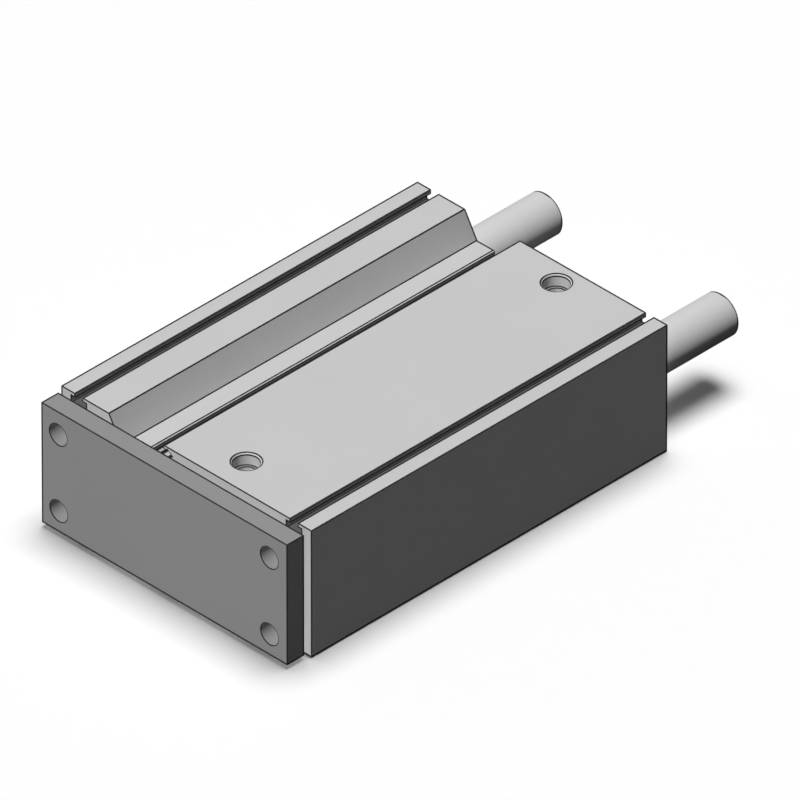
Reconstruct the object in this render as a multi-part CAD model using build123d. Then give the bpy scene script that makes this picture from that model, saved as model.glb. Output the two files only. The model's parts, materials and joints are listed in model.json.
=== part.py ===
from build123d import *
import os
from math import radians, sqrt, tan

# Guided pneumatic cylinder: a flat extruded body, two guide rods and a front plate.
# Frame in millimetres: X to the right, Y from the plate to the rear, Z up.
# The origin is the centre of the body's base. The plate is drawn in, as at rest.
# A depth is measured from the body's front face towards the rear.

# Stroke, bore and rods
STROKE = 125.0
BORE_D = 32.0
PISTON_ROD_D = 14.0
GUIDE_ROD_D = 16.0
GUIDE_INSET = 17.0
GUIDE_TAIL = 42.0

# Body section
BODY_W = 114.0
BODY_H = 50.0
EDGE_BREAK = 0.3

# Front plate
PLATE_T = 8.0
PLATE_SIDE_STEP = 1.0
PLATE_TOP_STEP = 1.0
PLATE_FOOT_CLEARANCE = 1.5
PLATE_GAP = 2.0
PLATE_HOLE_D = 8.0
PLATE_HOLE_INSET = 8.0
PLATE_HOLE_PITCH_Z = 30.0
SOCKET_DEPTH = 5.5

# Sensor grooves, of one section in three places
GROOVE_MOUTH = 3.2
GROOVE_LIP = 1.8
GROOVE_W = 6.5
GROOVE_DEPTH = 4.3
GROOVE_EDGE_X = 8.1
FLANK_GROOVE_S = 2.9

# Notch in the top, with a steep side, a flat floor, a step and a flank at 45 degrees
NOTCH_LEFT_X = -35.0
NOTCH_SLOPE = 60.0
NOTCH_FLOOR = 9.7
NOTCH_STEP = 11.45
NOTCH_STEP_CHAMFER = 0.55
NOTCH_FLANK_X = -9.9

# Mounting slots and holes in the base
SLOT_PITCH = 56.0
SLOT_MOUTH = 6.5
SLOT_LIP = 4.0
SLOT_W = 10.5
SLOT_DEPTH = 9.5
BASE_HOLE_D = 6.8
BASE_HOLE_DEPTH = 12.0
BASE_HOLE_INSET_X = 9.0
BASE_HOLE_INSET_Y = 26.0
DOWEL_D = 4.0
DOWEL_DEPTH = 5.0

# Air ports
PORT_D = 9.0
PORT_CHAMFER = 0.7
PORT_DEPTH = 4.6
PORT_DRILL_D = 7.0
PORT_DRILL_DEPTH = 10.0
PASSAGE_D = 3.0
PORT_SIDE_INSET = 0.9
PORT_FRONT_Y = 12.45
PORT_REAR_Y = 8.85

# Radial clearances: fixed parts, running fits, seals and the piston
FIT_GAP = 0.02
RUN_GAP = 0.03
SEAL_GAP = 0.05
PISTON_GAP = 0.2

# Front end of the cylinder, from the front face inwards
RING_SETBACK = 1.5
RING_T = 1.5
RING_GRIP = 1.1
RING_RADIAL_W = 3.0
RING_MOUTH = 8.0
COVER_STEP = 2.0
COVER_T = 6.0
ROD_SEAL_T = 4.6
ROD_SEAL_WALL = 3.0
BEARING_NOSE = 5.4
BUMPER_PROUD = 1.5
GALLERY_W = 2.5

# Rear end of the cylinder, from the rear face inwards
HEAD_RING_SETBACK = 1.1
HEAD_STEP = 1.0
HEAD_T = 4.8
HEAD_RECESS_D = 22.0
HEAD_RECESS_DEPTH = 1.6
REAR_BUMPER_D = 18.0
REAR_BUMPER_T = 1.5

# Piston, a stack on the rod's spigot: piston, seal, magnet and clamp disc
END_CLEARANCE = 0.1
PISTON_FLANGE_T = 3.0
PISTON_SEAL_W = 2.6
MAGNET_W = 3.0
MAGNET_INSET = 0.5
CLAMP_DISC_T = 3.4
HUB_D = 22.0
SPIGOT_D = 9.0
SPIGOT_COVER_T = 1.0

# Guides, from the front face inwards
WIPER_SETBACK = 1.0
WIPER_T = 3.0
BUSH_WALL = 1.97
BUSH_L = 24.0
REAR_BUSH_SETBACK = 1.0
ROD_CHAMFER = 0.5

# Places worked out from the sizes above
COVER_FRONT = RING_SETBACK + RING_T
COVER_SHOULDER = COVER_FRONT + COVER_T
BEARING_FRONT = COVER_FRONT + ROD_SEAL_T
BEARING_END = COVER_SHOULDER + BEARING_NOSE
FRONT_STOP = BEARING_END + BUMPER_PROUD
HEAD_STACK = HEAD_RING_SETBACK + RING_T + HEAD_T
PISTON_L = PISTON_FLANGE_T + PISTON_SEAL_W + MAGNET_W + CLAMP_DISC_T
BODY_L = FRONT_STOP + STROKE + PISTON_L + 2 * END_CLEARANCE + REAR_BUMPER_T + HEAD_STACK
FRONT_Y = -BODY_L / 2
REAR_Y = BODY_L / 2
AXIS_Z = BODY_H / 2
HEAD_INNER = BODY_L - HEAD_STACK
HEAD_OUTER = HEAD_INNER + HEAD_T
PISTON_REAR = HEAD_INNER - REAR_BUMPER_T - END_CLEARANCE
PISTON_FRONT = PISTON_REAR - PISTON_L
SEAL_FRONT = PISTON_FRONT + PISTON_FLANGE_T
MAGNET_FRONT = SEAL_FRONT + PISTON_SEAL_W
CLAMP_DISC_FRONT = MAGNET_FRONT + MAGNET_W
SPIGOT_END = PISTON_REAR - SPIGOT_COVER_T
PLATE_BACK = -PLATE_GAP
SOCKET_FLOOR = PLATE_BACK - SOCKET_DEPTH
PLATE_W = BODY_W - 2 * PLATE_SIDE_STEP
PLATE_H = BODY_H - PLATE_TOP_STEP - PLATE_FOOT_CLEARANCE
PLATE_MID_Z = PLATE_FOOT_CLEARANCE + PLATE_H / 2
PLATE_HOLE_PITCH_X = PLATE_W - 2 * PLATE_HOLE_INSET
BASE_HOLE_X = BODY_W / 2 - BASE_HOLE_INSET_X
BASE_HOLE_Y = BODY_L / 2 - BASE_HOLE_INSET_Y
PORT_X = BORE_D / 2 - PORT_SIDE_INSET
GUIDE_X = BODY_W / 2 - GUIDE_INSET
COVER_D = BORE_D + 2 * COVER_STEP
HEAD_D = BORE_D + 2 * HEAD_STEP
COVER_BORE_D = PISTON_ROD_D + 2 * ROD_SEAL_WALL
FRONT_BUMPER_D = BORE_D - 2 * GALLERY_W
PISTON_D = BORE_D - 2 * PISTON_GAP
BUSH_HOLE_D = GUIDE_ROD_D + 2 * RUN_GAP
GUIDE_BORE_D = BUSH_HOLE_D + 2 * BUSH_WALL
WIPER_FRONT = WIPER_SETBACK
FRONT_BUSH_FRONT = WIPER_FRONT + WIPER_T
REAR_BUSH_FRONT = BODY_L - REAR_BUSH_SETBACK - BUSH_L


# Helpers


def turned(profile, x=0.0):
    """Turns pairs of depth and diameter about an axis along Y, at the bore or at x."""
    axis_plane = Plane(origin=(x, FRONT_Y, AXIS_Z), x_dir=(0, 1, 0), z_dir=(1, 0, 0))
    points = [(depth, diameter / 2) for depth, diameter in profile]
    face = axis_plane * Polygon(*points, align=None)
    return revolve(face, Axis((x, 0, AXIS_Z), (0, 1, 0)))


def ring(front, length, outer, inner, x=0.0):
    """A turned ring from a depth, or a disc where it has no hole."""
    rear = front + length
    return turned([(front, inner), (front, outer), (rear, outer), (rear, inner)], x)


def facing_front(depth, z=AXIS_Z):
    """A plane that faces the front, with its own y upwards, at a depth in the body."""
    return Plane(origin=(0, FRONT_Y + depth, z), x_dir=(1, 0, 0), z_dir=(0, -1, 0))


def drilled(x, y, z_from, z_to, diameter):
    """A vertical drill through the stretch of height that is given."""
    start = Plane(origin=(x, y, min(z_from, z_to)))
    return extrude(start * Circle(diameter / 2), abs(z_to - z_from))


# Body


def t_groove(mouth, lip, width, depth):
    """The section of a T-groove that opens upwards at its own origin."""
    neck = Rectangle(mouth, 2 * lip)
    pocket = Pos(0, -(lip + depth) / 2) * Rectangle(width, depth - lip)
    return neck + pocket


def notch():
    """The section of the notch in the top, from its steep side to its flank."""
    slope_run = NOTCH_FLOOR / tan(radians(NOTCH_SLOPE))
    step_x = NOTCH_FLANK_X - NOTCH_STEP
    points = [
        (NOTCH_LEFT_X, BODY_H),
        (NOTCH_LEFT_X + slope_run, BODY_H - NOTCH_FLOOR),
        (step_x - NOTCH_STEP_CHAMFER, BODY_H - NOTCH_FLOOR),
        (step_x, BODY_H - NOTCH_FLOOR - NOTCH_STEP_CHAMFER),
        (step_x, BODY_H - NOTCH_STEP),
        (NOTCH_FLANK_X, BODY_H),
    ]
    return Polygon(*points, align=None)


def body_section():
    """The extruded section of the body, with x to the right and y upwards."""
    section = Pos(0, BODY_H / 2) * Rectangle(BODY_W, BODY_H)
    section -= notch()
    sensor_groove = t_groove(GROOVE_MOUTH, GROOVE_LIP, GROOVE_W, GROOVE_DEPTH)
    for side in (-1, 1):
        section -= Pos(side * (BODY_W / 2 - GROOVE_EDGE_X), BODY_H) * sensor_groove
    down_flank = FLANK_GROOVE_S / sqrt(2)
    section -= Pos(NOTCH_FLANK_X - down_flank, BODY_H - down_flank) * Rot(0, 0, 45) * sensor_groove
    slot = Rot(0, 0, 180) * t_groove(SLOT_MOUTH, SLOT_LIP, SLOT_W, SLOT_DEPTH)
    for side in (-1, 1):
        section -= Pos(side * SLOT_PITCH / 2, 0) * slot
    return section


def cylinder_cavity():
    """The bore, with a counterbore and a ring groove at each end."""
    bore = turned(
        [
            (0, 0),
            (0, COVER_D),
            (COVER_SHOULDER, COVER_D),
            (COVER_SHOULDER, BORE_D),
            (HEAD_INNER, BORE_D),
            (HEAD_INNER, HEAD_D),
            (BODY_L, HEAD_D),
            (BODY_L, 0),
        ]
    )
    front_groove = ring(RING_SETBACK, RING_T, COVER_D + 2 * RING_GRIP, BORE_D)
    rear_groove = ring(HEAD_OUTER, RING_T, HEAD_D + 2 * RING_GRIP, BORE_D)
    return bore + front_groove + rear_groove


def port_cavity(y):
    """An air port in the top, with its thread's bore, a drill and a passage to the bore."""
    port = drilled(PORT_X, y, BODY_H, BODY_H - PORT_DEPTH, PORT_D)
    port += drilled(PORT_X, y, BODY_H, BODY_H - PORT_DRILL_DEPTH, PORT_DRILL_D)
    port += drilled(PORT_X, y, BODY_H, AXIS_Z, PASSAGE_D)
    mouth = Plane(origin=(PORT_X, y, BODY_H - PORT_CHAMFER))
    port += extrude(mouth * Circle(PORT_D / 2), PORT_CHAMFER, taper=-45)
    return port


def base_hole_cavities():
    """Four tapped holes and two dowel holes in the base."""
    holes = Part()
    for y in (-BASE_HOLE_Y, BASE_HOLE_Y):
        for x in (-BASE_HOLE_X, BASE_HOLE_X):
            holes += drilled(x, y, 0, BASE_HOLE_DEPTH, BASE_HOLE_D)
        holes += drilled(0, y, 0, DOWEL_DEPTH, DOWEL_D)
    return holes


def cylinder_body():
    """The extruded body, with its edges broken and all its bores."""
    body = extrude(Plane.XZ.offset(-REAR_Y) * body_section(), BODY_L)
    long_edges = body.edges().filter_by(Axis.Y).group_by(Axis.Z)
    body = chamfer(long_edges[0] + long_edges[-1], EDGE_BREAK)
    ends = body.faces().sort_by(Axis.Y)
    end_edges = ends[0].outer_wire().edges() + ends[-1].outer_wire().edges()
    body = chamfer(end_edges, EDGE_BREAK)
    body -= cylinder_cavity()
    body -= ring(0, BODY_L, GUIDE_BORE_D, 0, -GUIDE_X)
    body -= ring(0, BODY_L, GUIDE_BORE_D, 0, GUIDE_X)
    body -= port_cavity(FRONT_Y + PORT_FRONT_Y)
    body -= port_cavity(REAR_Y - PORT_REAR_Y)
    body -= base_hole_cavities()
    return body


# Both ends of the cylinder


def rod_cover():
    """The cover round the piston rod, bored for its seal and bearing."""
    return ring(COVER_FRONT, COVER_T, COVER_D - 2 * FIT_GAP, COVER_BORE_D)


def rod_seal():
    """The rod's seal and scraper in one ring."""
    outer = COVER_BORE_D - 2 * FIT_GAP
    return ring(COVER_FRONT, ROD_SEAL_T, outer, PISTON_ROD_D + 2 * SEAL_GAP)


def rod_bearing():
    """The rod's plain bearing, which stands out of the cover on its inner side."""
    outer = COVER_BORE_D - 2 * FIT_GAP
    return ring(BEARING_FRONT, BEARING_END - BEARING_FRONT, outer, PISTON_ROD_D + 2 * RUN_GAP)


def front_bumper():
    """The cushion round the bearing's nose, slimmer than the bore so that air gets past."""
    return ring(COVER_SHOULDER, FRONT_STOP - COVER_SHOULDER, FRONT_BUMPER_D, COVER_BORE_D)


def retaining_ring(front, bore_d):
    """A spring ring in its groove, with its gap at the bottom."""
    outer_d = bore_d + 2 * RING_GRIP - 2 * FIT_GAP
    shape = Circle(outer_d / 2) - Circle(outer_d / 2 - RING_RADIAL_W)
    shape -= Pos(0, -outer_d / 2) * Rectangle(RING_MOUTH, outer_d / 2)
    return extrude(facing_front(front) * shape, -RING_T)


def head_cover():
    """The blind cover behind the piston, with a shallow recess outside."""
    head = ring(HEAD_INNER, HEAD_T, HEAD_D - 2 * FIT_GAP, 0)
    return head - ring(HEAD_OUTER - HEAD_RECESS_DEPTH, HEAD_RECESS_DEPTH, HEAD_RECESS_D, 0)


def rear_bumper():
    """The cushion disc on the head cover's inner face."""
    return ring(HEAD_INNER - REAR_BUMPER_T, REAR_BUMPER_T, REAR_BUMPER_D, 0)


# Piston and its rod


def piston():
    """The piston's flange, with the hub that carries the seal and the magnet."""
    flange = ring(PISTON_FRONT, PISTON_FLANGE_T, PISTON_D, 0)
    hub = ring(SEAL_FRONT, PISTON_SEAL_W + MAGNET_W, HUB_D, 0)
    return flange + hub - ring(PISTON_FRONT, PISTON_L, SPIGOT_D + 2 * FIT_GAP, 0)


def piston_seal():
    """The ring that seals the piston in the bore."""
    return ring(SEAL_FRONT, PISTON_SEAL_W, BORE_D - 2 * SEAL_GAP, HUB_D + 2 * FIT_GAP)


def piston_magnet():
    """The ring magnet that the sensors in the grooves read."""
    return ring(MAGNET_FRONT, MAGNET_W, BORE_D - 2 * MAGNET_INSET, HUB_D + 2 * FIT_GAP)


def piston_clamp_disc():
    """The threaded disc that clamps the stack on the rod's spigot."""
    disc = ring(CLAMP_DISC_FRONT, CLAMP_DISC_T, PISTON_D, 0)
    bored = SPIGOT_END - CLAMP_DISC_FRONT + FIT_GAP
    return disc - ring(CLAMP_DISC_FRONT, bored, SPIGOT_D + 2 * FIT_GAP, 0)


def piston_rod():
    """The piston rod, from its socket in the plate to its spigot in the piston."""
    return turned(
        [
            (SOCKET_FLOOR + FIT_GAP, 0),
            (SOCKET_FLOOR + FIT_GAP, PISTON_ROD_D),
            (PISTON_FRONT, PISTON_ROD_D),
            (PISTON_FRONT, SPIGOT_D),
            (SPIGOT_END, SPIGOT_D),
            (SPIGOT_END, 0),
        ]
    )


# Guides and plate


def guide_rod(x):
    """A ground guide rod, from its socket in the plate to its chamfered tail."""
    tail_end = BODY_L + GUIDE_TAIL
    return turned(
        [
            (SOCKET_FLOOR + FIT_GAP, 0),
            (SOCKET_FLOOR + FIT_GAP, GUIDE_ROD_D),
            (tail_end - ROD_CHAMFER, GUIDE_ROD_D),
            (tail_end, GUIDE_ROD_D - 2 * ROD_CHAMFER),
            (tail_end, 0),
        ],
        x,
    )


def slide_bushes(x):
    """The plain bushes of one guide, pressed in at the front and at the rear."""
    outer = GUIDE_BORE_D - 2 * FIT_GAP
    front_bush = ring(FRONT_BUSH_FRONT, BUSH_L, outer, BUSH_HOLE_D, x)
    rear_bush = ring(REAR_BUSH_FRONT, BUSH_L, outer, BUSH_HOLE_D, x)
    return Compound(children=[front_bush, rear_bush])


def guide_wipers():
    """The felt rings that wipe the two guide rods."""
    outer = GUIDE_BORE_D - 2 * FIT_GAP
    inner = GUIDE_ROD_D + 2 * SEAL_GAP
    wipers = [ring(WIPER_FRONT, WIPER_T, outer, inner, x) for x in (-GUIDE_X, GUIDE_X)]
    return Compound(children=wipers)


def front_plate():
    """The plate that carries the load, with four holes and a socket for each rod."""
    face = facing_front(PLATE_BACK, PLATE_MID_Z)
    plate = extrude(face * Rectangle(PLATE_W, PLATE_H), PLATE_T)
    plate = chamfer(plate.edges(), EDGE_BREAK)
    for x in (-GUIDE_X, GUIDE_X):
        plate -= ring(SOCKET_FLOOR, SOCKET_DEPTH, GUIDE_ROD_D + 2 * FIT_GAP, 0, x)
    plate -= ring(SOCKET_FLOOR, SOCKET_DEPTH, PISTON_ROD_D + 2 * FIT_GAP, 0)
    pattern = GridLocations(PLATE_HOLE_PITCH_X, PLATE_HOLE_PITCH_Z, 2, 2)
    holes = Sketch() + facing_front(PLATE_BACK - PLATE_T) * pattern * Circle(PLATE_HOLE_D / 2)
    return plate - extrude(holes, -PLATE_T)


# Every node by its name

nodes = {
    "cylinder_body": cylinder_body(),
    "rod_cover": rod_cover(),
    "rod_seal": rod_seal(),
    "rod_bearing": rod_bearing(),
    "rod_cover_retaining_ring": retaining_ring(RING_SETBACK, COVER_D),
    "front_bumper": front_bumper(),
    "head_cover": head_cover(),
    "head_cover_retaining_ring": retaining_ring(HEAD_OUTER, HEAD_D),
    "rear_bumper": rear_bumper(),
    "guide_wipers": guide_wipers(),
    "front_plate": front_plate(),
    "piston_rod": piston_rod(),
    "piston": piston(),
    "piston_seal": piston_seal(),
    "piston_magnet": piston_magnet(),
    "piston_clamp_disc": piston_clamp_disc(),
}
for side_name, guide_x in (("left", -GUIDE_X), ("right", GUIDE_X)):
    nodes[f"guide_rod_{side_name}"] = guide_rod(guide_x)
    nodes[f"slide_bushes_{side_name}"] = slide_bushes(guide_x)

os.makedirs("parts", exist_ok=True)
for name, solid in nodes.items():
    solid.label = name
    export_step(solid, f"parts/{name}.step")
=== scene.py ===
import json
from math import pi, radians

import bmesh
import bpy
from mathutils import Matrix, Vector
from mathutils.geometry import intersect_line_line_2d

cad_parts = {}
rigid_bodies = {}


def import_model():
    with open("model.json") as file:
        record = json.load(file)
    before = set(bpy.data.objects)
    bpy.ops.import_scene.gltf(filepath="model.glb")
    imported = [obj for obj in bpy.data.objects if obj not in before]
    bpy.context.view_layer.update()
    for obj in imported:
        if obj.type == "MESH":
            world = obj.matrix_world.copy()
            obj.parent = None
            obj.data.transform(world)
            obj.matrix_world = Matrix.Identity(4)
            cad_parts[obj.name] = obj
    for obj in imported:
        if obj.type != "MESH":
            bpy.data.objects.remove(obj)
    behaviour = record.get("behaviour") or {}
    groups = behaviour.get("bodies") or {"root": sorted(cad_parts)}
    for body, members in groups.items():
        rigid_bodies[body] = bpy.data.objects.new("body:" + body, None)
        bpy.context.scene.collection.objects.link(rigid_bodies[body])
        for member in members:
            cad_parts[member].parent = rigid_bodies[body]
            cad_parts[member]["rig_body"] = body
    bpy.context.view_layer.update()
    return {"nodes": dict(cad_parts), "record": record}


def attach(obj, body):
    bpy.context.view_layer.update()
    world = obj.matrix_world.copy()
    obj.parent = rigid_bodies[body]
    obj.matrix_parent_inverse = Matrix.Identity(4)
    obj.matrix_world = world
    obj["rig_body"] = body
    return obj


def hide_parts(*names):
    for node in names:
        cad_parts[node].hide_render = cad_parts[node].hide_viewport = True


# Guided pneumatic cylinder on a white floor, seen as in an isometric drawing.
# Units are metres. Light levels are stated as the brightness that they give a white surface.

MM = 0.001

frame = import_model()

# The photograph's frame: its width at the object, and the point at its middle
VIEW_WIDTH = 256.5 * MM
VIEW_AIM = Vector((25.5, -9.5, 49.7)) * MM
VIEW_LENS = 1700.0
SENSOR_WIDTH = 36.0
VIEW_BACK = Vector((1.0, -1.0, 1.0)).normalized()

# Light levels on a white surface
SKY_LEVEL = 0.085
KEY_LEVEL = 0.95
KEY_FROM = Vector((0.0, -0.565, 0.825))
REAR_LEVEL = 0.42
REAR_FROM = Vector((0.0, 1.0, 0.0))
LEFT_LEVEL = 0.3
LEFT_FROM = Vector((-1.0, 0.0, 0.05))
UNDER_LEVEL = 0.3
UNDER_FROM = Vector((0.1, -0.2, -1.0))
FLOOR_LEVEL = 0.74
FLOOR_FROM = Vector((-0.03, 0.12, 1.0))
FLOOR_SPREAD = radians(27.5)
SOFT_LEVEL = 0.17
SOFT_FROM = Vector((-0.03, 0.0, 1.0))
SOFT_SPREAD = radians(34.0)
SHARP = radians(1.0)
FLOOR_SIZE = 20.0
FLOOR_DROP = 0.05 * MM
CLIP_RATIO = 10

# Every finish: how its noise becomes tone, roughness and relief
CLOUD_GRAIN = (22.0, 22.0, 22.0)
STREAK_SHARE = 0.6
NOISE_RANGE = (0.3, 0.7)
ROUGHNESS_SPREAD = 0.06
RELIEF_STRENGTH = 0.4

# Dark lines: bands of the faces themselves, along each sharp edge.
# LINE_SHARE is the most of a surface's width that one band takes, and NECK_SHARE the most of the
# room across it. SEEN_EDGE and FACES_AWAY say how far a face turns to the corner that is shown, as
# the cosine between its normal and VIEW_BACK.
LINE_W = 0.28 * MM
OUTLINE_W = 0.65 * MM
BESIDE_GROOVE_W = 0.1 * MM
BESIDE_CHAMFER_W = 0.03 * MM
CHAMFER_W = 0.6 * MM
LINE_SHARE = 0.3
SHARP_EDGE = radians(20.0)
SEEN_EDGE = 0.6
FACES_AWAY = 0.1
FLAT = 0.9999
NEARLY_STRAIGHT = 0.97
SHORT_EDGE = 0.6 * MM
NECK_SHARE = 0.4
WELD = 0.001 * MM
LINE_COLOUR = (0.035, 0.035, 0.035)

# Material slots of a lined piece; the slots with painted shade for the body's sunken places follow the
# line
PLAIN_SLOT = 0
LINE_SLOT = 1
FIRST_PAINTED_SHADE_SLOT = 2

# Where the body's sunken faces lie, and the painted shade on them: darker copies of the body's own
# colour, as shares of it
GROOVE_X = 48.9 * MM
GROOVE_REACH = 3.4 * MM
GROOVE_FLOOR_DEPTH = 4.0 * MM
GROOVE_WIDEST = 8.0 * MM
PORT_WIDEST = 12.0 * MM
PORT_LEAD = 1.0 * MM
NOTCH_DEPTH = 12.0 * MM
STEP_X = (-21.5 * MM, -21.2 * MM)
SLOPE_NORMAL = Vector((0.866, 0.0, 0.5))
FACES_UP = 0.9
SAME_SLOPE = 0.99
# Painted shade: darker tones of the body's colour for its groove floors, ports, port steps, notch step
# and slope, where shade falls
RECESS_PAINTED_SHADE = {"groove": 0.2, "port": 0.98, "port_step": 0.5, "step": 0.27, "slope": 0.78}


# Shader nodes

# A Mix node's sockets for colours, which share their names with its other kinds
MIX_COLOUR_A = 6
MIX_COLOUR_B = 7
MIX_COLOUR_RESULT = 2


class Tree:
    """A node tree, with short calls that add a node and link it."""

    def __init__(self, tree):
        self.nodes = tree.nodes
        self.links = tree.links
        self.nodes.clear()

    def add(self, kind, settings=None, **inputs):
        """Adds a node, sets its properties, and sets or links its inputs by name."""
        node = self.nodes.new(kind)
        for name, value in (settings or {}).items():
            setattr(node, name, value)
        for name, value in inputs.items():
            self.put(node, name.replace("_", " "), value)
        return node

    def put(self, node, name, value):
        """Gives an input, by name or number, a value or another node's output."""
        socket = node.inputs[name]
        if isinstance(value, bpy.types.NodeSocket):
            self.links.new(value, socket)
        else:
            socket.default_value = value

    def math(self, operation, *values):
        """The output of a math node."""
        node = self.add("ShaderNodeMath", {"operation": operation})
        for place, value in enumerate(values):
            self.put(node, place, value)
        return node.outputs[0]

    def span(self, value, low, high, to_low=0.0, to_high=1.0):
        """A value's place between low and high, on a new scale."""
        node = self.add("ShaderNodeMapRange", {"clamp": True})
        for place, number in enumerate((value, low, high, to_low, to_high)):
            self.put(node, place, number)
        return node.outputs[0]

    def noise(self, stretch, detail=3.0):
        """Noise with a number of cells per metre along each axis of the object."""
        place = self.add("ShaderNodeTexCoord").outputs["Object"]
        scaled = self.add("ShaderNodeMapping", Vector=place, Scale=stretch)
        texture = self.add("ShaderNodeTexNoise", Vector=scaled.outputs[0], Scale=1.0, Detail=detail)
        return texture.outputs["Fac"]


def shade(colour, factor):
    """A colour made darker or lighter, as a full RGBA value."""
    return tuple(min(1.0, channel * factor) for channel in colour[:3]) + (1.0,)


def finish_material(slot, colour, *, roughness, grain, depth, spread=0.03, metallic=0.0, gloss=0.2):
    """A solid finish.

    Grain sets its streaks, depth their relief, and spread how far the tone wanders.
    """
    material = bpy.data.materials.new(slot)
    material.use_nodes = True
    tree = Tree(material.node_tree)
    streaks = tree.noise(grain)
    clouds = tree.noise(CLOUD_GRAIN, detail=2.0)
    cloud_part = tree.math("MULTIPLY", clouds, 1 - STREAK_SHARE)
    blend = tree.math("MULTIPLY_ADD", streaks, STREAK_SHARE, cloud_part)
    tone = tree.add("ShaderNodeMix", {"data_type": "RGBA"})
    tree.put(tone, "Factor", tree.span(blend, *NOISE_RANGE))
    tree.put(tone, MIX_COLOUR_A, shade(colour, 1.0 - spread))
    tree.put(tone, MIX_COLOUR_B, shade(colour, 1.0 + spread))
    relief = tree.add("ShaderNodeBump", Strength=RELIEF_STRENGTH, Distance=depth, Height=streaks)
    surface = tree.add(
        "ShaderNodeBsdfPrincipled", Base_Color=tone.outputs[MIX_COLOUR_RESULT], Metallic=metallic
    )
    smooth, rough = roughness - ROUGHNESS_SPREAD, roughness + ROUGHNESS_SPREAD
    tree.put(surface, "Roughness", tree.span(streaks, *NOISE_RANGE, smooth, rough))
    tree.put(surface, "Specular IOR Level", gloss)
    tree.put(surface, "Normal", relief.outputs[0])
    output = tree.add("ShaderNodeOutputMaterial")
    tree.put(output, "Surface", surface.outputs[0])
    return material


# Finishes by material slot. Grain is in cells per metre along X, Y and Z.
# It runs along the body and the plate, and round the rods.

ALONG_X = (60.0, 4200.0, 4200.0)
ALONG_Y = (4200.0, 60.0, 4200.0)
ROUND_Y = (500.0, 9000.0, 500.0)
FINE = (3000.0, 3000.0, 3000.0)

FINISHES = {
    "body_aluminium": dict(
        colour=(0.64, 0.64, 0.64), roughness=0.6, grain=ALONG_Y, depth=0.006 * MM, gloss=0.1
    ),
    "plate_steel": dict(
        colour=(0.31, 0.31, 0.31), roughness=0.6, grain=ALONG_X, depth=0.006 * MM, gloss=0.1
    ),
    "rod_steel": dict(
        colour=(0.72, 0.72, 0.725), roughness=0.5, grain=ROUND_Y, depth=0.003 * MM, gloss=0.0
    ),
    "cover_aluminium": dict(
        colour=(0.5, 0.5, 0.5), roughness=0.5, grain=FINE, depth=0.005 * MM
    ),
    "seal_rubber": dict(
        colour=(0.02, 0.02, 0.02), roughness=0.7, grain=FINE, depth=0.02 * MM
    ),
    "bumper_rubber": dict(
        colour=(0.1, 0.16, 0.22), roughness=0.6, grain=FINE, depth=0.02 * MM
    ),
    "bearing_bronze": dict(
        colour=(0.52, 0.34, 0.14), roughness=0.45, grain=FINE, depth=0.01 * MM, metallic=0.6
    ),
    "spring_steel": dict(
        colour=(0.09, 0.09, 0.095), roughness=0.5, grain=FINE, depth=0.01 * MM, metallic=0.3
    ),
    "magnet_plastic": dict(
        colour=(0.05, 0.045, 0.04), roughness=0.6, grain=FINE, depth=0.02 * MM
    ),
    "wiper_felt": dict(
        colour=(0.45, 0.42, 0.36), roughness=0.95, grain=FINE, depth=0.15 * MM, spread=0.15
    ),
}

# These nodes lie inside the body and show no edge, so they keep their own mesh
HIDDEN_INSIDE = {
    "rod_bearing",
    "front_bumper",
    "rear_bumper",
    "piston",
    "piston_seal",
    "piston_magnet",
    "piston_clamp_disc",
}


# Edge lines


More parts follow.
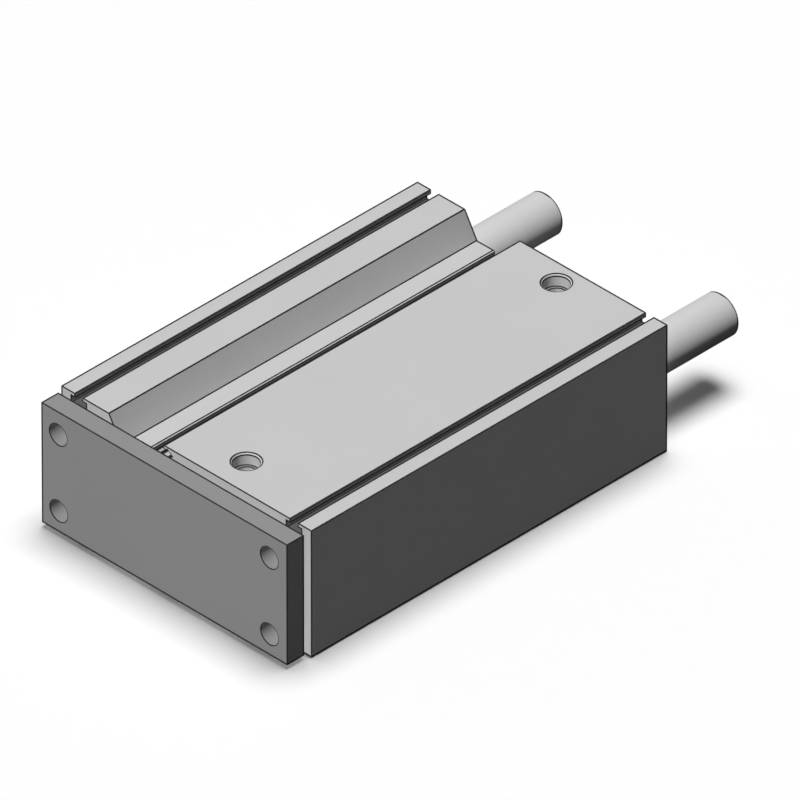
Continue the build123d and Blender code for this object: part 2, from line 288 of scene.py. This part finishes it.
class Surface:
    """A group of faces that sharp edges bound: a flat side, a bore or a chamfer."""

    def __init__(self, faces):
        self.faces = faces
        self.borders = []
        self.shifts = {}
        corners = [vertex.co for face in faces for vertex in face.verts]
        self.low = Vector([min(corner[axis] for corner in corners) for axis in range(3)])
        self.high = Vector([max(corner[axis] for corner in corners) for axis in range(3)])
        self.flat = all(face.normal.dot(faces[0].normal) > FLAT for face in faces)
        off_groove = abs(abs(self.low[0] + self.high[0]) / 2 - GROOVE_X)
        slim = self.high[0] - self.low[0] < GROOVE_WIDEST
        self.in_groove = off_groove < GROOVE_REACH / 2 and slim

    def measure(self):
        """Sets the width, which is that of a strip with the same area and outline."""
        outline = sum(edge.calc_length() for edge, _, _ in self.borders)
        self.width = 2 * sum(face.calc_area() for face in self.faces) / max(outline, WELD)
        self.narrow = self.width < CHAMFER_W

    def line_width(self, face, other, other_face):
        """How wide this side's band is along a border with another surface.

        A chamfer is dark all over, so it is a line by itself. Where the other side turns away from
        the corner that the part is shown from, and isn't a hole's wall, this side's band is the
        outline and is drawn wider.
        """
        slant = max(0.0, other_face.normal.dot(VIEW_BACK)) / SEEN_EDGE
        hole_wall = self.flat and not other.flat and not other.narrow
        shown = face.normal.dot(VIEW_BACK) > FACES_AWAY and not hole_wall
        if other.narrow:
            wanted = max(BESIDE_CHAMFER_W, OUTLINE_W * (1 - slant) * shown)
        elif other.in_groove and not self.in_groove:
            wanted = BESIDE_GROOVE_W
        else:
            wanted = OUTLINE_W if shown and slant < FACES_AWAY / SEEN_EDGE else LINE_W
        return min(wanted, LINE_SHARE * self.width)

    def shift_borders(self):
        """Works out how far each border vertex moves inwards, to the band's inner side."""
        pulls = {}
        for edge, face, (other, other_face) in self.borders:
            width = self.line_width(face, other, other_face)
            start, end = edge.verts
            inward = face.normal.cross(end.co - start.co).normalized()
            if inward.dot(face.calc_center_median() - start.co) < 0:
                inward.negate()
            short = edge.calc_length() < SHORT_EDGE
            for vertex in edge.verts:
                pulls.setdefault(vertex, []).append((short, inward, width))
        for vertex, found in pulls.items():
            kept = [pull[1:] for pull in found if not pull[0]] or [pull[1:] for pull in found]
            shift = inset_corner(kept)
            self.shifts[vertex] = shift * min(1.0, self.neck(vertex, shift))

    def neck(self, vertex, shift):
        """How much of a shift a flat surface has room for before its opposite border."""
        if not self.flat:
            return 1.0
        normal = self.faces[0].normal
        axes = [axis for axis in range(3) if axis != max(range(3), key=lambda axis: abs(normal[axis]))]
        start = Vector([vertex.co[axis] for axis in axes])
        reach = Vector([shift[axis] for axis in axes]) / NECK_SHARE
        room = 1.0
        for edge, _, _ in self.borders:
            if vertex in edge.verts:
                continue
            first, second = (Vector([end.co[axis] for axis in axes]) for end in edge.verts)
            hit = intersect_line_line_2d(start, start + reach, first, second)
            if hit:
                room = min(room, (hit - start).length / reach.length)
        return room


def inset_corner(pulls):
    """The shift that is each band's width away from its own edge."""
    if len(pulls) != 2:
        return sum((inward * width for inward, width in pulls), Vector((0.0, 0.0, 0.0))) / len(pulls)
    (first, first_width), (second, second_width) = pulls
    cosine = first.dot(second)
    if abs(cosine) > NEARLY_STRAIGHT:
        return (first + second).normalized() * (first_width + second_width) / 2
    share = 1 - cosine * cosine
    along_first = (first_width - cosine * second_width) / share
    along_second = (second_width - cosine * first_width) / share
    return first * along_first + second * along_second


def find_surfaces(work):
    """Sorts the faces of a closed mesh into surfaces, with the borders between them.

    The edges are taken in the mesh's own order, so that each run gives the same result.
    """
    borders = [edge for edge in work.edges if edge.calc_face_angle(0) > SHARP_EDGE]
    sharp = set(borders)
    owner = {}
    found = []
    for start in work.faces:
        if start in owner:
            continue
        group, queue = [], [start]
        owner[start] = len(found)
        while queue:
            face = queue.pop()
            group.append(face)
            for edge in face.edges:
                if edge in sharp:
                    continue
                for other in edge.link_faces:
                    if other not in owner:
                        owner[other] = len(found)
                        queue.append(other)
        found.append(Surface(group))
    for edge in borders:
        first, second = edge.link_faces
        if owner[first] != owner[second]:
            found[owner[first]].borders.append((edge, first, (found[owner[second]], second)))
            found[owner[second]].borders.append((edge, second, (found[owner[first]], first)))
    for surface in found:
        surface.measure()
    return found


def recess(surface, top):
    """The name of the sunken place in the body's top that a surface is, or None. Each such place gets
    painted shade.
    """
    normal = surface.faces[0].normal
    size = surface.high - surface.low
    above_notch = top - NOTCH_DEPTH < surface.low[2]
    at_groove_floor = above_notch and surface.low[2] < top - GROOVE_FLOOR_DEPTH
    if surface.in_groove and normal[2] > FACES_UP and at_groove_floor:
        return "groove"
    below_lead = above_notch and surface.low[2] < top - PORT_LEAD
    in_port = max(size[0], size[1]) < PORT_WIDEST and below_lead
    if in_port and not surface.flat:
        return "port"
    if in_port and normal[2] > FACES_UP:
        return "port_step"
    if STEP_X[0] < surface.low[0] and surface.high[0] < STEP_X[1]:
        return "step"
    if normal.dot(SLOPE_NORMAL) > SAME_SLOPE:
        return "slope"
    return None


def lined_mesh(node, painted_shade_places):
    """The node's own shape, with a dark band along each sharp edge and dark chamfers, and painted
    shade on the places that are named.
    """
    work = bmesh.new()
    work.from_mesh(frame["nodes"][node].data)
    bmesh.ops.remove_doubles(work, verts=work.verts, dist=WELD)
    work.normal_update()
    points = [vertex.co.copy() for vertex in work.verts]
    faces, slots = [], []
    top = max(point[2] for point in points)
    for surface in find_surfaces(work):
        moved = {}
        if not surface.narrow:
            surface.shift_borders()
        for vertex, shift in surface.shifts.items():
            moved[vertex] = len(points)
            points.append(vertex.co + shift)
        # Faces in a named sunken place get that place's painted-shade slot
        place = recess(surface, top)
        slot = PLAIN_SLOT
        if surface.narrow:
            slot = LINE_SLOT
        elif place in painted_shade_places:
            slot = FIRST_PAINTED_SHADE_SLOT + painted_shade_places.index(place)
        for face in surface.faces:
            faces.append([moved.get(vertex, vertex.index) for vertex in face.verts])
            slots.append(slot)
        if surface.narrow:
            continue
        for edge, face, _ in surface.borders:
            loop = next(loop for loop in face.loops if loop.edge == edge)
            start, end = loop.vert, loop.link_loop_next.vert
            faces.append([start.index, end.index, moved[end], moved[start]])
            slots.append(LINE_SLOT)
    work.free()
    mesh = bpy.data.meshes.new(f"{node}_lined")
    mesh.from_pydata(points, [], faces)
    mesh.polygons.foreach_set("material_index", slots)
    mesh.shade_smooth()
    mesh.set_sharp_from_angle(angle=SHARP_EDGE)
    return mesh


# Pieces


def dress_nodes():
    """Gives each node its finish, and makes the lined copy of each that can be seen. The body's copy
    also gets the painted-shade finishes.
    """
    line = finish_material(
        "edge_line", LINE_COLOUR, roughness=0.7, grain=FINE, depth=0.002 * MM, gloss=0.0
    )
    materials = {slot: finish_material(slot, **settings) for slot, settings in FINISHES.items()}
    body = FINISHES["body_aluminium"]
    # Painted shade: darker copies of the body's finish, without gloss, one for each sunken place
    painted_shade_finishes = []
    for place, tone in RECESS_PAINTED_SHADE.items():
        settings = dict(body, colour=shade(body["colour"], tone), gloss=0.0)
        painted_shade_finishes.append(finish_material(f"body_aluminium_{place}", **settings))
    pieces = []
    for part in frame["record"]["subparts"]:
        name, slot = part["node"], part["material_slot"]
        node = frame["nodes"][name]
        node.data.materials.clear()
        node.data.materials.append(materials[slot])
        if name in HIDDEN_INSIDE:
            pieces.append(node)
            continue
        is_body = name == "cylinder_body"
        painted_shade_places = list(RECESS_PAINTED_SHADE) if is_body else []
        piece = bpy.data.objects.new(f"{name}_lined", lined_mesh(name, painted_shade_places))
        bpy.context.scene.collection.objects.link(piece)
        for material in [materials[slot], line] + painted_shade_finishes * is_body:
            piece.data.materials.append(material)
        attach(piece, node["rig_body"])
        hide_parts(name)
        pieces.append(piece)
    return pieces


# Floor and light


def add_floor():
    """A white floor that keeps the object's shadow and sends no light back up.

    It is clear from below, so that a view from there shows the object.
    """
    half = FLOOR_SIZE / 2
    mesh = bpy.data.meshes.new("floor")
    corners = [(-half, -half), (half, -half), (half, half), (-half, half)]
    mesh.from_pydata([(x, y, -FLOOR_DROP) for x, y in corners], [], [(0, 1, 2, 3)])
    floor = bpy.data.objects.new("floor", mesh)
    bpy.context.scene.collection.objects.link(floor)
    material = bpy.data.materials.new("floor_white")
    material.use_nodes = True
    tree = Tree(material.node_tree)
    white = tree.add("ShaderNodeBsdfDiffuse", Color=(1.0, 1.0, 1.0, 1.0))
    black = tree.add("ShaderNodeBsdfDiffuse", Color=(0.0, 0.0, 0.0, 1.0))
    clear = tree.add("ShaderNodeBsdfTransparent")
    bounce = tree.add("ShaderNodeLightPath").outputs["Is Diffuse Ray"]
    below = tree.add("ShaderNodeNewGeometry").outputs["Backfacing"]
    lit = tree.add("ShaderNodeMixShader")
    tree.put(lit, 0, bounce)
    tree.put(lit, 1, white.outputs[0])
    tree.put(lit, 2, black.outputs[0])
    seen = tree.add("ShaderNodeMixShader")
    tree.put(seen, 0, below)
    tree.put(seen, 1, lit.outputs[0])
    tree.put(seen, 2, clear.outputs[0])
    output = tree.add("ShaderNodeOutputMaterial")
    tree.put(output, "Surface", seen.outputs[0])
    mesh.materials.append(material)
    return floor


def add_world():
    """White to the camera and in reflections; to diffuse light a dim sky with nothing below it."""
    world = bpy.data.worlds.new("studio")
    bpy.context.scene.world = world
    world.use_nodes = True
    tree = Tree(world.node_tree)
    path = tree.add("ShaderNodeLightPath")
    seen = tree.math("MAXIMUM", path.outputs["Is Camera Ray"], path.outputs["Is Glossy Ray"])
    seen = tree.math("MAXIMUM", seen, path.outputs["Is Transmission Ray"])
    direction = tree.add("ShaderNodeTexCoord").outputs["Generated"]
    height = tree.add("ShaderNodeSeparateXYZ", Vector=direction)
    above = tree.math("GREATER_THAN", height.outputs["Z"], 0.0)
    sky = tree.math("MULTIPLY", above, SKY_LEVEL)
    strength = tree.math("MAXIMUM", seen, sky)
    background = tree.add("ShaderNodeBackground", Color=(1.0, 1.0, 1.0, 1.0), Strength=strength)
    output = tree.add("ShaderNodeOutputWorld")
    tree.put(output, "Surface", background.outputs[0])


def light_group(name, objects):
    """A collection of objects that a light shines on, or that block it."""
    group = bpy.data.collections.new(name)
    for item in objects:
        group.objects.link(item)
    return group


def add_sun(name, direction, level, receivers, spread=SHARP, blockers=None):
    """A distant light from a direction, at a level on a white surface square to it.

    It casts shadows only where it has blockers.
    """
    data = bpy.data.lights.new(name, "SUN")
    data.energy = level * pi
    data.angle = spread
    data.use_shadow = blockers is not None
    lamp = bpy.data.objects.new(name, data)
    lamp.rotation_mode = "QUATERNION"
    lamp.rotation_quaternion = direction.to_track_quat("Z", "Y")
    bpy.context.scene.collection.objects.link(lamp)
    lamp.light_linking.receiver_collection = receivers
    if blockers:
        lamp.light_linking.blocker_collection = blockers


def add_lights(pieces, floor):
    """The key and the fills on the object, and the two lights that draw its shadow.

    The fills from the left and below leave the guide rods out, which are dark underneath. The
    front plate hangs just over the floor, so it blocks only one of the two lights on the floor:
    its full shadow would be a black strip.
    """
    not_rods = [piece for piece in pieces if "guide_rod" not in piece.name]
    not_plate = [piece for piece in pieces if "front_plate" not in piece.name]
    whole = light_group("object_lit", pieces)
    blocks = light_group("blocks_lit", not_rods)
    ground = light_group("floor_lit", [floor])
    set_back = light_group("set_back", not_plate)
    add_sun("key", KEY_FROM, KEY_LEVEL, whole)
    add_sun("rear", REAR_FROM, REAR_LEVEL, whole, blockers=whole)
    add_sun("left", LEFT_FROM, LEFT_LEVEL, blocks, blockers=whole)
    add_sun("under", UNDER_FROM, UNDER_LEVEL, blocks, blockers=whole)
    add_sun("overhead", FLOOR_FROM, FLOOR_LEVEL, ground, FLOOR_SPREAD, blockers=whole)
    add_sun("overhead_soft", SOFT_FROM, SOFT_LEVEL, ground, SOFT_SPREAD, blockers=set_back)


def add_camera():
    """A long lens from the isometric corner, far enough off to look almost parallel."""
    data = bpy.data.cameras.new("camera")
    data.lens = VIEW_LENS
    data.sensor_width = SENSOR_WIDTH
    distance = VIEW_WIDTH * VIEW_LENS / SENSOR_WIDTH
    data.clip_start = distance / CLIP_RATIO
    data.clip_end = distance * CLIP_RATIO
    camera = bpy.data.objects.new("camera", data)
    camera.location = VIEW_AIM + VIEW_BACK * distance
    camera.rotation_mode = "QUATERNION"
    camera.rotation_quaternion = VIEW_BACK.to_track_quat("Z", "Y")
    bpy.context.scene.collection.objects.link(camera)
    bpy.context.scene.camera = camera


pieces = dress_nodes()
add_world()
add_lights(pieces, add_floor())
add_camera()
bpy.context.scene.view_settings.view_transform = "Standard"
